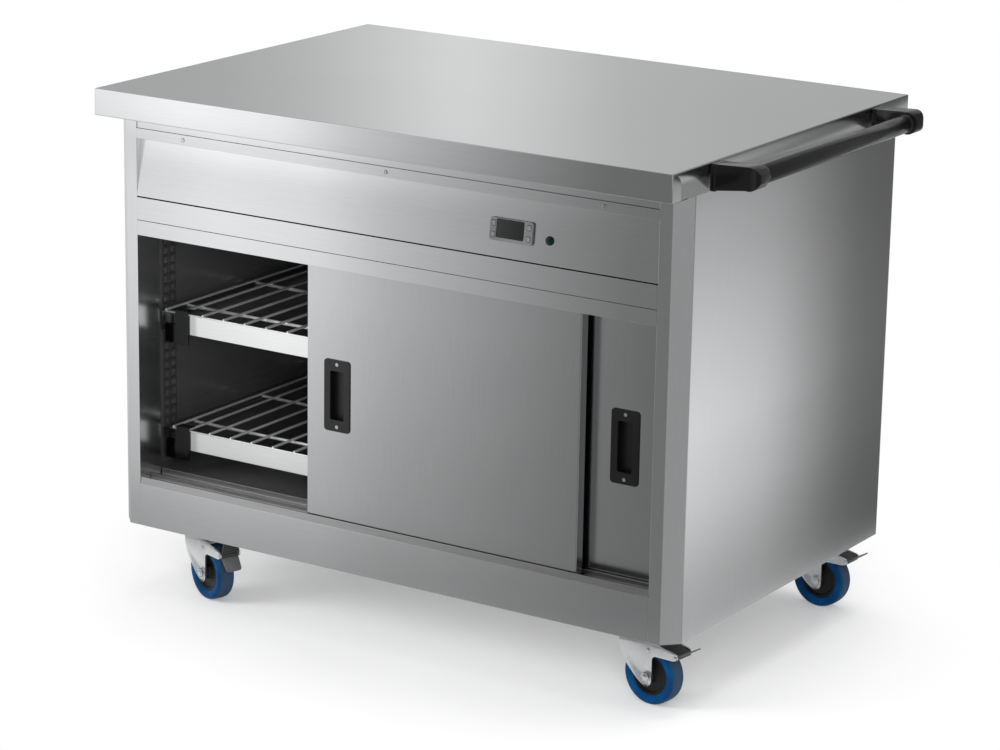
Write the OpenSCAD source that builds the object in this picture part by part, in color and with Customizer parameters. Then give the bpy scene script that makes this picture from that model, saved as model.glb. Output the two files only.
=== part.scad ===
// Mobile hot cupboard (hostess trolley): plain steel worktop over a heated cavity with two
// wire shelves, two sliding doors, a sloped control fascia, a push handle on the right
// end and four swivel castors. Millimetres, +Z up. The floor is z = 0, the front faces -Y,
// and the origin is under the middle of the whole outline, handle included.

/* [Worktop] */
// Length of the worktop
worktop_w = 1115; // [1000:5:1300]
// Depth of the worktop, front to back
worktop_d = 795; // [740:5:860]
// Height of the worktop above the floor
worktop_h = 900; // [880:5:950]
// Depth of the folded worktop edge
worktop_edge = 46; // [40:1:50]
// Overhang of the worktop in front of the body
front_overhang = 49.5; // [45:0.5:60]
// Overhang of the worktop behind the body
rear_overhang = 41.5; // [35:0.5:50]

/* [Body] */
// Gauge of the folded sheet
sheet = 1.2; // [1:0.1:1.5]
// Clear width between the front corner posts
opening_w = 1017; // [900:1:1020]
// Size of the slanted cut on each front corner
corner_cut = 25; // [20:1:28]
// Depth of the door jambs, front to back
jamb_depth = 57.4; // [57:0.1:60]
// Height of the kick panel
kick_h = 75; // [70:1:80]
// Height of the door opening
door_opening_h = 441; // [420:1:460]
// Height of the plain rail between doors and controls
front_rail_h = 67.5; // [60:0.5:70]

/* [Controls] */
// Height of the sloped control fascia
fascia_h = 99.2; // [95:0.1:105]
// How far the top of the fascia is set back
fascia_setback = 13; // [8:1:18]
// Height of the screwed flange above the fascia
flange_h = 17.3; // [15:0.1:20]
// Spacing of the fascia screws
screw_pitch = 410; // [350:1:420]
// Place of the digital controller, from the cabinet's centre
controller_x = 239.5; // [150:0.5:260]
// Width of the controller bezel
bezel_w = 80; // [76:1:84]
// Height of the controller bezel
bezel_h = 37; // [35:1:39]
// Place of the indicator lamp, from the cabinet's centre
lamp_x = 309.5; // [300:0.5:400]
// Diameter of the indicator lamp
lamp_d = 15; // [12:0.5:16]

/* [Doors] */
// Width of each door
door_w = 528; // [520:1:535]
// Thickness of each door
door_t = 20; // [18:1:20]
// Air gap between the two doors
door_gap = 10; // [9:0.5:11]
// How far the front door stands open to the right
front_door_open = 341.5; // [0:0.5:469]
// Width of a door pull's plate
pull_w = 52; // [45:1:56]
// Height of a door pull's plate
pull_h = 123; // [115:1:130]
// Depth of a door pull's finger pocket
pull_depth = 13; // [10:0.5:14]

/* [Shelves] */
// Height of the upper shelf's band, top edge
upper_shelf_z = 495; // [470:1:520]
// Drop from the upper shelf to the lower shelf
shelf_drop = 208; // [190:1:215]
// Spacing of the shelf wires
wire_pitch = 45; // [40:1:50]
// Height of the band along a shelf's front
band_h = 35; // [25:1:36]
// Sideways place of the upper shelf between its racks
upper_shift = -6.5; // [-8:0.5:8]
// Sideways place of the lower shelf between its racks
lower_shift = 7.5; // [-8:0.5:8]

/* [Handle] */
// Reach of the handle beyond the worktop's side
handle_reach = 85; // [80:1:95]
// Length of the handle over its brackets
handle_len = 574; // [500:2:600]
// Diameter of the handle tube
handle_d = 30; // [26:1:32]

/* [Castors] */
// Overall height of a castor
castor_h = 130; // [128:1:132]
// Diameter of a castor wheel
wheel_d = 100; // [98:1:101]
// Width of a castor tyre
tyre_w = 31; // [28:1:31]
// Trail of a wheel behind its swivel axis
trail = 40; // [38:1:41]
// Swivel axes, from the cabinet's centre along X
castor_x = 441; // [420:1:445]
// Swivel axes of the front castors along Y
castor_front_y = -268; // [-275:1:-262]
// Swivel axes of the rear castors along Y
castor_rear_y = 308; // [290:1:308]

/* [Hidden] */
$fn = 48;
eps = 0.02;
face = 0.1;      // open joint between two butted sheets
steel = "silver";
dark = "dimgray";

cab_x = -handle_reach / 2;
half_w = worktop_w / 2;
half_d = worktop_d / 2;
edge_z = worktop_h - worktop_edge;
skin_z = worktop_h - sheet;
body_half = half_w - sheet - face;
body_front = -half_d + front_overhang;
body_back = half_d - rear_overhang;
open_half = opening_w / 2;
jamb_y = body_front + jamb_depth;
base_z = castor_h;
kick_z = base_z + kick_h;
open_z = kick_z + door_opening_h;
fascia_z = open_z + front_rail_h;
flange_z = fascia_z + fascia_h;
header_z = flange_z + flange_h;
sheet_y = body_front + sheet;
fascia_tilt = atan(fascia_setback / fascia_h);

// Controls on the fascia, measured from the controller's middle
controls_z = 758;
lamp_z = 752;
bezel_t = 3;
window_w = 50;
window_h = 27;
window_z = 1.5;
button_w = 7;
button_h = 8;
buttons = [[33, 9], [33, -9], [-33, 9], [-33, -9]];

// Cable gland in the back panel
gland_x = -320;
gland_z = 175;
gland_body_r = 8;
gland_bore_r = 5;

// Doors and their tracks
door_stop = 10;
door_clear = 6;
front_door_y = body_front + door_clear;
rear_door_y = front_door_y + door_t + door_gap;
door_reach = open_half - door_stop;
front_door_x = -door_reach + front_door_open;
rear_door_x = door_reach - door_w;
door_z = kick_z + 6.5;
door_top = open_z + 9;
door_h = door_top - door_z;
pull_margin = 34.5;
pull_z = door_z + door_h / 2 - 2.5;
pocket_w = 27;
pocket_h = 84;
channel_w = door_t + 5.2;
sill_lip_z = kick_z + 12;
sill_floor_z = kick_z + 4;
track_z = open_z + 10;
track_top = open_z + 22;
track_back = rear_door_y + door_t + 6.5;
glide_l = 40;
glide_w = door_t + 3;

// Cavity
liner_half = open_half + 21.5;
liner_back_y = body_back - 56;
floor_z = kick_z + 11;
ceiling_z = open_z + 34;
baffle_y = liner_back_y - 38;
fan_z = 440;
fan_r = 70;
shaft_r = 4;
element_r = 92;

// Shelves
shelf_y = body_front + 80;
shelf_len = baffle_y - 8 - shelf_y;
shelf_half = 515;
wire_r = 2.5;
cross_r = 3;
wire_sink = 0.4; // weld depth between crossing wires
wire_count = 22;
rack_z = kick_z + 20;
rack_gap = 0.3;
clip_x = 487;

// Handle
boss_r = 19;
handle_x = half_w + handle_reach - boss_r;
handle_z = worktop_h - boss_r;
handle_y = (body_front + body_back) / 2;
bracket_t = 33;

// Castors: swivel axis x and y, angle of the trail, and how far the brake is pressed
castors = [
    [-castor_x, castor_front_y, -21, 83],
    [castor_x, castor_front_y, -7, 0],
    [-castor_x, castor_rear_y, 12, 0],
    [castor_x, castor_rear_y, -3, 0]
];
axle_z = wheel_d / 2;
axle_r = 5;
kingpin_r = 6;
running = 0.05;
leg_in = 17.5;
leg_t = 3;
crown_z = castor_h - 12.5;
pedal_u = 95;
pedal_z = 93.5;
pedal_pin_r = 3;
pad_slope = 21;
plate_rise = 50;
plate_l = 102;
plate_w = 84;
plate_t = 3;
bolt_x = 40;
bolt_y = 31;

// ---- helpers ----

module at_cabinet() { translate([cab_x, 0, 0]) children(); }

module both_sides() {
    children();
    mirror([1, 0, 0]) children();
}

// A box given by its low and high corners
module box(low, high) { translate(low) cube(high - low); }

// A round bar along Y, X or Z
module bar_y(x, y0, y1, z, r) { translate([x, y0, z]) rotate([-90, 0, 0]) cylinder(h = y1 - y0, r = r); }
module bar_x(x0, x1, y, z, r) { translate([x0, y, z]) rotate([0, 90, 0]) cylinder(h = x1 - x0, r = r); }

// A YZ outline drawn as [y, z], run along X between two ends
module run_x(x0, x1, points) {
    translate([x0, 0, 0]) rotate([90, 0, 90]) linear_extrude(x1 - x0) polygon(points);
}

// Children drawn on the sloped fascia, their -Y side outwards
module on_fascia(x, z) {
    y = body_front + fascia_setback * (z - fascia_z) / fascia_h;
    translate([x, y, z]) rotate([-fascia_tilt, 0, 0]) children();
}

// ---- cabinet shell ----

module worktop() color(steel) at_cabinet() union() {
    difference() {
        box([-half_w, -half_d, edge_z], [half_w, half_d, worktop_h]);
        box([-half_w + sheet, -half_d + sheet, edge_z - 1], [half_w - sheet, half_d - sheet, skin_z]);
    }
    lip_x = half_w - sheet;
    box([-lip_x, -half_d + sheet, edge_z], [lip_x, body_front - 1, edge_z + sheet]);
    box([-lip_x, body_back + 1, edge_z], [lip_x, half_d - sheet, edge_z + sheet]);
}

module side_panels() color(steel) at_cabinet() both_sides()
    box([body_half - sheet, body_front + corner_cut + 2, base_z], [body_half, body_back - sheet - face, skin_z]);

// Folded corner post: jamb, front strip, slanted face and a return behind the side panel
module corner_posts() color(steel) at_cabinet() both_sides() {
    slant = 0.58 * sheet;
    front_x = body_half - corner_cut;
    cut_y = body_front + corner_cut + 1;
    return_x = body_half - sheet - face;
    return_y = cut_y + 17;
    translate([0, 0, base_z]) linear_extrude(skin_z - base_z) polygon([
        [open_half, body_front], [front_x, body_front],
        [body_half, cut_y], [body_half, cut_y + 1 - face], [return_x, cut_y + 1 - face],
        [return_x, return_y], [return_x - sheet, return_y], [return_x - sheet, cut_y + slant - sheet],
        [front_x - slant, sheet_y], [open_half + sheet, sheet_y],
        [open_half + sheet, jamb_y - sheet], [liner_half, jamb_y - sheet],
        [liner_half, jamb_y], [open_half, jamb_y]
    ]);
}

module back_panel() {
    vent_count = 10;
    vent_pitch = 22;
    vent_w = 60;
    color(steel) at_cabinet() difference() {
        box([-body_half, body_back - sheet, base_z], [body_half, body_back, skin_z]);
        for (side = [-1, 1], i = [0:vent_count - 1])
            translate([side * 330 - vent_w / 2, body_back - 2 * sheet, 560 + i * vent_pitch])
                cube([vent_w, 4 * sheet, 6]);
        bar_y(gland_x, body_back - 5, body_back + 5, gland_z, gland_body_r + running);
    }
}

module base_tray() color(steel) at_cabinet() difference() {
    union() {
        box([-open_half + face, sheet_y + face, base_z], [open_half - face, jamb_y, base_z + 1.5]);
        box([-body_half + sheet + face, jamb_y, base_z],
            [body_half - sheet - face, body_back - sheet - face, base_z + 1.5]);
    }
    for (c = castors) translate([c[0], c[1], base_z - 1]) {
        for (x = [-bolt_x, bolt_x], y = [-bolt_y, bolt_y]) translate([x, y, 0]) cylinder(h = 4, r = 4.2);
    }
}

module kick_panel() color(steel) at_cabinet() union() {
    box([-open_half + face, body_front, base_z], [open_half - face, sheet_y, kick_z - face]);
    box([-open_half + face, sheet_y - eps, kick_z - face - sheet], [open_half - face, jamb_y, kick_z - face]);
}

module header_rail() color(steel) at_cabinet() difference() {
    box([-open_half + face, sheet_y + face, flange_z + 2], [open_half - face, 2 * sheet_y - body_front + face, skin_z]);
    for (x = [-screw_pitch, 0, screw_pitch]) bar_y(x, body_front - 2, body_front + 8, flange_z + flange_h / 2, 2.3);
}

// Plain rail with a shallow line along it, and a lip that hides the door tops
module front_rail() color(steel) at_cabinet() difference() {
    groove_z = open_z + 26;
    x = open_half - face;
    run_x(-x, x, [
        [body_front, open_z], [sheet_y + 2.5, open_z], [sheet_y + 2.5, open_z + sheet],
        [sheet_y, open_z + sheet], [sheet_y, fascia_z - 1], [body_front, fascia_z - 1]
    ]);
    box([-x - 1, body_front - 1, groove_z], [x + 1, body_front + 0.4, groove_z + 0.7]);
}

// Guide channels for the two doors, above and below
module top_track() color(steel) at_cabinet() {
    x = open_half - 0.5;
    wall = 1.5;
    middle = rear_door_y + door_t / 2 - channel_w / 2;
    front_end = front_door_y + door_t / 2 - channel_w / 2;
    first_end = front_door_y + door_t / 2 + channel_w / 2;
    rear_end = rear_door_y + door_t / 2 + channel_w / 2;
    run_x(-x, x, [
        [front_end - wall, track_z], [front_end, track_z], [front_end, track_top],
        [first_end, track_top], [first_end, track_z], [middle, track_z], [middle, track_top],
        [rear_end, track_top], [rear_end, track_z], [rear_end + wall, track_z],
        [rear_end + wall, track_top + wall], [front_end - wall, track_top + wall]
    ]);
}

module sill_track() color(steel) at_cabinet() {
    x = door_reach - 1.5;
    first_a = front_door_y + door_t / 2 - channel_w / 2;
    first_b = front_door_y + door_t / 2 + channel_w / 2;
    second_a = rear_door_y + door_t / 2 - channel_w / 2;
    second_b = rear_door_y + door_t / 2 + channel_w / 2;
    run_x(-x, x, [
        [body_front, kick_z], [body_front + 1.6, sill_lip_z], [first_a, sill_lip_z],
        [first_a, sill_floor_z], [first_b, sill_floor_z], [first_b, sill_lip_z],
        [second_a, sill_lip_z], [second_a, sill_floor_z], [second_b, sill_floor_z],
        [second_b, sill_lip_z + 2], [track_back, sill_lip_z + 2], [track_back, kick_z]
    ]);
}

// ---- control fascia ----

module fascia_sheet() {
    top_y = body_front + fascia_setback;
    x = open_half - face;
    run_x(-x, x, [
        [body_front, header_z], [body_front, flange_z], [top_y, flange_z], [body_front, fascia_z],
        [body_front + 12, fascia_z], [body_front + 12, fascia_z + sheet],
        [sheet_y + 0.2, fascia_z + sheet], [top_y + sheet, flange_z + sheet],
        [sheet_y, flange_z + sheet], [sheet_y, header_z]
    ]);
}

module control_fascia() color(steel) at_cabinet() difference() {
    fascia_sheet();
    on_fascia(controller_x, controls_z) box([-36, -5, -15], [36, 5, 15]);
    on_fascia(lamp_x, lamp_z) bar_y(0, -5, 5, 0, 6);
    for (x = [-screw_pitch, 0, screw_pitch]) bar_y(x, body_front - 2, body_front + 4, flange_z + flange_h / 2, 2.3);
}

module fascia_screws() color("lightgray") at_cabinet() {
    for (x = [-screw_pitch, 0, screw_pitch]) {
        z = flange_z + flange_h / 2;
        difference() {
            bar_y(x, body_front - 1.8, body_front, z, 4);
            box([x - 2.6, body_front - 3, z - 0.4], [x + 2.6, body_front - 1, z + 0.4]);
            box([x - 0.4, body_front - 3, z - 2.6], [x + 0.4, body_front - 1, z + 2.6]);
        }
        bar_y(x, body_front, body_front + 10, z, 2);
    }
}

// Bezel with a window opening and four button wells, and the case behind it
module controller_case() color("lightgray") at_cabinet() on_fascia(controller_x, controls_z) difference() {
    union() {
        box([-bezel_w / 2, -bezel_t, -bezel_h / 2], [bezel_w / 2, 0, bezel_h / 2]);
        box([-35.5, -eps, -14.5], [35.5, 55, 14.5]);
    }
    box([-window_w / 2, -bezel_t - 1, window_z - window_h / 2], [window_w / 2, -bezel_t + 1.5, window_z + window_h / 2]);
    for (b = buttons) box([b[0] - button_w / 2 - 0.3, -bezel_t - 1, b[1] - button_h / 2 - 0.3],
                          [b[0] + button_w / 2 + 0.3, 0.5, b[1] + button_h / 2 + 0.3]);
}

module controller_window() color("black") at_cabinet() on_fascia(controller_x, controls_z)
    box([-window_w / 2 + 0.1, -bezel_t + 0.2, window_z - window_h / 2 + 0.1],
        [window_w / 2 - 0.1, -bezel_t + 1.5, window_z + window_h / 2 - 0.1]);

module button(i) color("gray") at_cabinet() on_fascia(controller_x, controls_z) {
    b = buttons[i];
    box([b[0] - button_w / 2, -bezel_t - 0.8, b[1] - button_h / 2], [b[0] + button_w / 2, -1.2, b[1] + button_h / 2]);
}

module indicator_lamp() color("darkgreen") at_cabinet() on_fascia(lamp_x, lamp_z) {
    bar_y(0, -1.5, 0, 0, lamp_d / 2);
    bar_y(0, -3.2, -1.5 + eps, 0, lamp_d / 2 - 2);
    bar_y(0, -eps, 26, 0, 5.8);
}

// ---- heated cavity ----

module liner_sides() color(dark) at_cabinet() both_sides()
    box([liner_half, jamb_y, floor_z], [liner_half + sheet, liner_back_y - face, ceiling_z - face]);

module liner_back() color(dark) at_cabinet() difference() {
    box([-liner_half - sheet, liner_back_y, floor_z], [liner_half + sheet, liner_back_y + sheet, ceiling_z - face]);
    bar_y(0, liner_back_y - 5, liner_back_y + 5, fan_z, 12);
    for (x = [-element_r, element_r]) bar_y(x, liner_back_y - 5, liner_back_y + 5, fan_z, 4.3);
}

module liner_floor() color(dark) at_cabinet()
    box([-liner_half - sheet, track_back + face, floor_z - sheet - face],
        [liner_half + sheet, liner_back_y + sheet, floor_z - face]);

// The ceiling's front edge is folded down to the door track
module liner_ceiling() color(dark) at_cabinet() union() {
    box([-liner_half - sheet, jamb_y, ceiling_z], [liner_half + sheet, liner_back_y + sheet, ceiling_z + sheet]);
    box([-open_half + 1, jamb_y, track_top + 1.6], [open_half - 1, jamb_y + sheet, ceiling_z + eps]);
}

// Slotted uprights joined by a ledge under each shelf
module shelf_racks() color(steel) at_cabinet() both_sides() {
    wall_x = liner_half - rack_gap;
    ledge_w = 30;
    post_w = 38;
    post_t = 2;
    slot_pitch = 34;
    slot_rows = 12;
    rear_y = baffle_y - 24 - post_w;
    for (y = [jamb_y + 34, rear_y]) difference() {
        box([wall_x - post_t, y, rack_z], [wall_x, y + post_w, ceiling_z - 20]);
        for (i = [0:slot_rows - 1]) box([wall_x - post_t - 1, y + 6, rack_z + 14 + i * slot_pitch],
                                        [wall_x + 1, y + 18, rack_z + 25 + i * slot_pitch]);
    }
    for (z = [upper_shelf_z, upper_shelf_z - shelf_drop]) {
        top = z - 2 * cross_r + wire_sink - rack_gap;
        box([wall_x - ledge_w, shelf_y + 8, top - 2], [wall_x - post_t + eps, rear_y + post_w, top]);
        box([wall_x - 2 * post_t, shelf_y + 8, top - 16], [wall_x - post_t + eps, rear_y + post_w, top]);
    }
}

module shelf_band(z, shift) color(steel) at_cabinet()
    box([-shelf_half + shift, shelf_y, z - band_h], [shelf_half + shift, shelf_y + 1.5, z]);

// Front-to-back wires on the band, welded to cross wires that rest on the side ledges
module shelf_wires(z, shift) color("gainsboro") at_cabinet() translate([shift, 0, 0]) {
    end_x = shelf_half - 6;
    first = -(wire_count - 1) / 2 * wire_pitch;
    xs = concat([-end_x, end_x], [for (i = [0:wire_count - 1]) first + i * wire_pitch]);
    for (x = xs) bar_y(x, shelf_y, shelf_y + shelf_len, z + wire_r, wire_r);
    for (k = [0.12, 0.5, 0.94])
        bar_x(-end_x - wire_r, end_x + wire_r, shelf_y + k * shelf_len, z - cross_r + wire_sink, cross_r);
}

// Square plates against the band near each end, each with a tab hooked over the wires
module shelf_clips(z) color("black") at_cabinet() both_sides() {
    back = shelf_y - face;
    front = back - 3;
    square_top = z - 19;
    hook_z = z + 2 * wire_r + 0.3;
    union() {
        box([-clip_x - 25, front, square_top - 34], [-clip_x + 25, back, square_top]);
        box([-clip_x - 3, front, square_top - eps], [-clip_x + 25, back, hook_z + 1.5]);
        box([-clip_x - 3, back - eps, hook_z], [-clip_x + 25, back + 16, hook_z + 1.5]);
    }
}

// Perforated panel in front of the fan
module air_baffle() color(dark) at_cabinet() difference() {
    half = 320;
    box([-half, baffle_y, floor_z + 14], [half, baffle_y + sheet, ceiling_z - 20]);
    for (ring = [1:3], i = [0:6 * ring - 1])
        rotate_at(0, fan_z, i * 60 / ring) bar_y(ring * 20, baffle_y - 2, baffle_y + 4, 0, 6);
    for (side = [-1, 1], i = [0:5]) box([side * 250 - 30, baffle_y - 2, 280 + i * 60], [side * 250 + 30, baffle_y + 4, 290 + i * 60]);
    for (side = [-1, 1]) bar_y(side * 300, baffle_y - 2, baffle_y + 4, ceiling_z - 35, 2.2);
}

module rotate_at(x, z, angle) { translate([x, 0, z]) rotate([0, angle, 0]) children(); }

module fan_motor() color("slategray") at_cabinet() difference() {
    union() {
        bar_y(0, liner_back_y + sheet + 0.1, body_back - 10, fan_z, 32);
        bar_y(0, liner_back_y - 1, liner_back_y + sheet + 0.2, fan_z, 11);
    }
    bar_y(0, liner_back_y - 2, liner_back_y + 32, fan_z, shaft_r + running);
}

module fan_impeller() color("lightgray") at_cabinet() {
    blades = 10;
    disc_y = liner_back_y - 8;
    bar_y(0, disc_y, disc_y + 1.5, fan_z, fan_r);
    bar_y(0, disc_y - 20, disc_y + eps, fan_z, 10);
    bar_y(0, disc_y - 24, liner_back_y + 30, fan_z, shaft_r);
    for (i = [0:blades - 1]) rotate_at(0, fan_z, i * 360 / blades)
        box([30, disc_y - 20, -0.75], [fan_r - 2, disc_y + eps, 0.75]);
}

// Ring element round the fan, with two tails through the back liner
module heating_element() color("sienna") at_cabinet() {
    y = liner_back_y - 18;
    translate([0, y, fan_z]) rotate([90, 0, 0]) rotate_extrude($fn = 72) translate([element_r, 0]) circle(r = 4);
    for (x = [-element_r, element_r]) bar_y(x, y, liner_back_y + 24, fan_z, 4);
}

module cable_gland() color("black") at_cabinet() difference() {
    union() {
        bar_y(gland_x, body_back - 16, body_back + 1, gland_z, gland_body_r);
        bar_y(gland_x, body_back - 10, body_back - sheet - face, gland_z, gland_body_r + 4);
        bar_y(gland_x, body_back + face, body_back + 7, gland_z, gland_body_r + 5);
        bar_y(gland_x, body_back + 6, body_back + 22, gland_z, gland_body_r + 2);
    }
    bar_y(gland_x, body_back - 17, body_back + 23, gland_z, gland_bore_r);
}

// ---- handle ----

// Side view: a tall foot on the worktop's edge that narrows to a round boss
module bracket_side() {
    foot_low = edge_z + 1;
    foot_high = worktop_h - 3;
    union() {
        polygon([
            [half_w, foot_low], [handle_x - 4, handle_z - boss_r + 0.5], [handle_x, handle_z],
            [handle_x, worktop_h - 0.1], [half_w, foot_high]
        ]);
        translate([handle_x, handle_z]) circle(r = boss_r, $fn = 72);
    }
}

module bracket_plan() {
    outer = half_w + handle_reach;
    round_r = 14;
    union() {
        translate([half_w, 0]) square([handle_reach - round_r, bracket_t]);
        translate([half_w, round_r]) square([handle_reach, bracket_t - round_r]);
        translate([outer - round_r, round_r]) circle(r = round_r, $fn = 72);
    }
}

module bracket() difference() {
    intersection() {
        translate([0, bracket_t, 0]) rotate([90, 0, 0]) linear_extrude(bracket_t) bracket_side();
        translate([0, 0, edge_z]) linear_extrude(worktop_edge + 1) bracket_plan();
    }
    bar_y(handle_x, bracket_t - 18, bracket_t + 1, handle_z, handle_d / 2 + running);
}

module handle_brackets() color("black") at_cabinet() translate([0, handle_y, 0]) {
    translate([0, -handle_len / 2, 0]) bracket();
    mirror([0, 1, 0]) translate([0, -handle_len / 2, 0]) bracket();
}

module handle_tube() color("black") at_cabinet() {
    end = handle_len / 2 - bracket_t + 17;
    bar_y(handle_x, handle_y - end, handle_y + end, handle_z, handle_d / 2, $fn = 72);
}

// ---- doors ----

// Folded door tray with its lower left front corner at the origin, and a hole for the pull
module door_tray(pull_x) color(steel) difference() {
    cube([door_w, door_t, door_h]);
    box([sheet, sheet, sheet], [door_w - sheet, door_t - sheet, door_h - sheet]);
    box([15, 10, 15], [door_w - 15, door_t + 1, door_h - 15]);
    box([pull_x - pocket_w / 2 - 1.5, -1, pull_z - door_z - pocket_h / 2 - 1.5],
        [pull_x + pocket_w / 2 + 1.5, 5, pull_z - door_z + pocket_h / 2 + 1.5]);
}

// Pull plate with rounded corners and a finger pocket, centred on the door's face
module pull() color("black") difference() {
    corner = 5;
    plate = 1.8;
    wall = 1.2;
    x = pull_w / 2;
    z = pull_h / 2;
    union() {
        box([-x + corner, -plate, -z], [x - corner, -face, z]);
        box([-x, -plate, -z + corner], [x, -face, z - corner]);
        for (sx = [-1, 1], sz = [-1, 1]) bar_y(sx * (x - corner), -plate, -face, sz * (z - corner), corner);
        for (sz = [-1, 1]) bar_y(0, -plate - 0.7, -plate + eps, sz * 53.5, 3);
        box([-pocket_w / 2 - wall, -face - eps, -pocket_h / 2 - wall],
            [pocket_w / 2 + wall, pull_depth, pocket_h / 2 + wall]);
    }
    box([-pocket_w / 2, -3, -pocket_h / 2], [pocket_w / 2, pull_depth - wall, pocket_h / 2]);
}

// Nylon pads that run in the channels, under and over a door
module glides() color("ivory") for (x = [12, door_w - 12 - glide_l]) {
    y0 = (door_t - glide_w) / 2;
    box([x, y0, -2], [x + glide_l, y0 + glide_w, 0]);
    box([x, y0, door_h], [x + glide_l, y0 + glide_w, door_h + 9]);
}

module front_place() { at_cabinet() translate([front_door_x, front_door_y, door_z]) children(); }
module rear_place() { at_cabinet() translate([rear_door_x, rear_door_y, door_z]) children(); }

front_pull_x = pull_margin + pull_w / 2;
rear_pull_x = door_w - front_pull_x;

module front_door() { front_place() door_tray(front_pull_x); }
module front_door_pull() { front_place() translate([front_pull_x, 0, pull_z - door_z]) pull(); }
module front_door_glides() { front_place() glides(); }
module rear_door() { rear_place() door_tray(rear_pull_x); }
module rear_door_pull() { rear_place() translate([rear_pull_x, 0, pull_z - door_z]) pull(); }
module rear_door_glides() { rear_place() glides(); }

// ---- castors: u runs along the trail, v across it ----

module at_castor(i) {
    c = castors[i];
    at_cabinet() translate([c[0], c[1], 0]) rotate([0, 0, c[2]]) children();
}

// Top plates with their upper race, kingpin and bolts
module castor_plates() color("lightgray") at_cabinet() for (c = castors) translate([c[0], c[1], 0]) {
    top = castor_h - face;
    difference() {
        box([-plate_l / 2, -plate_w / 2, top - plate_t], [plate_l / 2, plate_w / 2, top]);
        for (x = [-bolt_x, bolt_x], y = [-bolt_y, bolt_y]) translate([x, y, top - 5]) cylinder(h = 6, r = 4.1);
    }
    translate([0, 0, crown_z + 0.3]) cylinder(h = castor_h - plate_t - crown_z - 0.3, r = 27);
    translate([0, 0, crown_z - 13]) cylinder(h = 14, r = kingpin_r);
    translate([0, 0, crown_z - 15.5]) cylinder(h = 2.5 + eps, r = 9);
    for (x = [-bolt_x, bolt_x], y = [-bolt_y, bolt_y]) translate([x, y, 0]) {
        translate([0, 0, castor_h - plate_t - 5]) cylinder(h = 5 - face, r = 6.5, $fn = 6);
        translate([0, 0, castor_h - plate_t - 1]) cylinder(h = 9, r = 4);
        translate([0, 0, castor_h + 1.6]) cylinder(h = 4, r = 6.5, $fn = 6);
    }
}

// Leg outline in the u-z plane, with an arm that carries the brake pedal beyond the tyre
module leg_outline() difference() {
    tip_r = 6;
    union() {
        polygon([
            [-17, crown_z - 9.5], [-17, 92], [-5, 66], [24, 38], [34, 34.5], [41, 34], [47, 39],
            [48.5, 52], [48.5, 80], [53, 86], [pedal_u - 2, pedal_z - tip_r + 0.3],
            [pedal_u + 1.5, pedal_z + tip_r - 0.2], [57, crown_z - 9.5]
        ]);
        translate([pedal_u, pedal_z]) circle(r = tip_r);
    }
    translate([pedal_u, pedal_z]) circle(r = pedal_pin_r + running);
}

module leg(v) { translate([0, v + leg_t, 0]) rotate([90, 0, 0]) linear_extrude(leg_t) leg_outline(); }

module fork(i) color("gainsboro") at_castor(i) {
    difference() {
        union() {
            translate([0, 0, crown_z - 10]) cylinder(h = 9.7, r = 30);
            box([-17, -leg_in - leg_t, crown_z - 12.5], [40, leg_in + leg_t, crown_z - 9.5]);
        }
        translate([0, 0, crown_z - 20]) cylinder(h = 30, r = kingpin_r + running);
    }
    for (v = [-leg_in - leg_t, leg_in]) leg(v);
    half = leg_in + leg_t;
    bar_y(trail, -half - 2, half + 2, axle_z, axle_r);
    translate([trail, -half, axle_z]) rotate([90, 0, 0]) cylinder(h = 4.5, r = 8, $fn = 6);
    translate([trail, half, axle_z]) rotate([-90, 0, 0]) cylinder(h = 6, r = 8, $fn = 6);
    for (v = [-half - 1.8, half]) bar_y(trail + 1, v, v + 1.8, 95, 3.5);
}

module hub(i) color("black") at_castor(i) translate([trail, 0, axle_z]) rotate([90, 0, 0]) difference() {
    hub_r = wheel_d / 2 - 13.5;
    union() {
        cylinder(h = tyre_w - 4, r = hub_r, center = true, $fn = 96);
        cylinder(h = tyre_w + 2, r = 11, center = true);
    }
    for (s = [-1, 1]) translate([0, 0, s * (tyre_w / 2 - 2)]) difference() {
        cylinder(h = 8, r = hub_r - 5, center = true);
        cylinder(h = 9, r = 14, center = true);
    }
    cylinder(h = 2 * tyre_w, r = axle_r + running, center = true);
}

module tyre(i) color("royalblue") at_castor(i) translate([trail, 0, axle_z]) rotate([90, 0, 0])
    rotate_extrude($fn = 96) {
        r = wheel_d / 2;
        w = tyre_w / 2;
        polygon([
            [r - 13.5, -w + 1.5], [r - 5, -w], [r - 1.2, -w + 3], [r, -w + 8],
            [r, w - 8], [r - 1.2, w - 3], [r - 5, w], [r - 13.5, w - 1.5]
        ]);
    }

// Rocker pedal on a pin through the arms: a ribbed release pad towards the swivel axis and
// a plain brake plate that stands up outwards. Pressing the plate turns both down.
module pedal(i) color("dimgray") at_castor(i) translate([pedal_u, 0, pedal_z])
    rotate([0, pad_slope + castors[i][3], 0]) {
        half = leg_in - 0.4;
        pad_half = half - 0.3;
        plate_half = half - 0.6;
        pin_end = leg_in + leg_t + 2;
        pad_l = 31;
        plate_l = 31;
        barrel_r = 5;
        box([-pad_l, -pad_half, 1.4], [1, pad_half, 4]);
        for (k = [0:5]) box([-pad_l + 1 + 5 * k, -pad_half + 1, 3.9], [-pad_l + 3 + 5 * k, pad_half - 1, 5]);
        rotate([0, -plate_rise, 0]) box([1, -plate_half, -1], [plate_l, plate_half, 1]);
        bar_y(0, -half, half, 0, barrel_r);
        bar_y(0, -pin_end + 0.5, pin_end - 0.5, 0, pedal_pin_r);
        for (v = [-pin_end, pin_end - 1.6]) bar_y(0, v, v + 1.6, 0, barrel_r - 0.2);
    }

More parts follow.
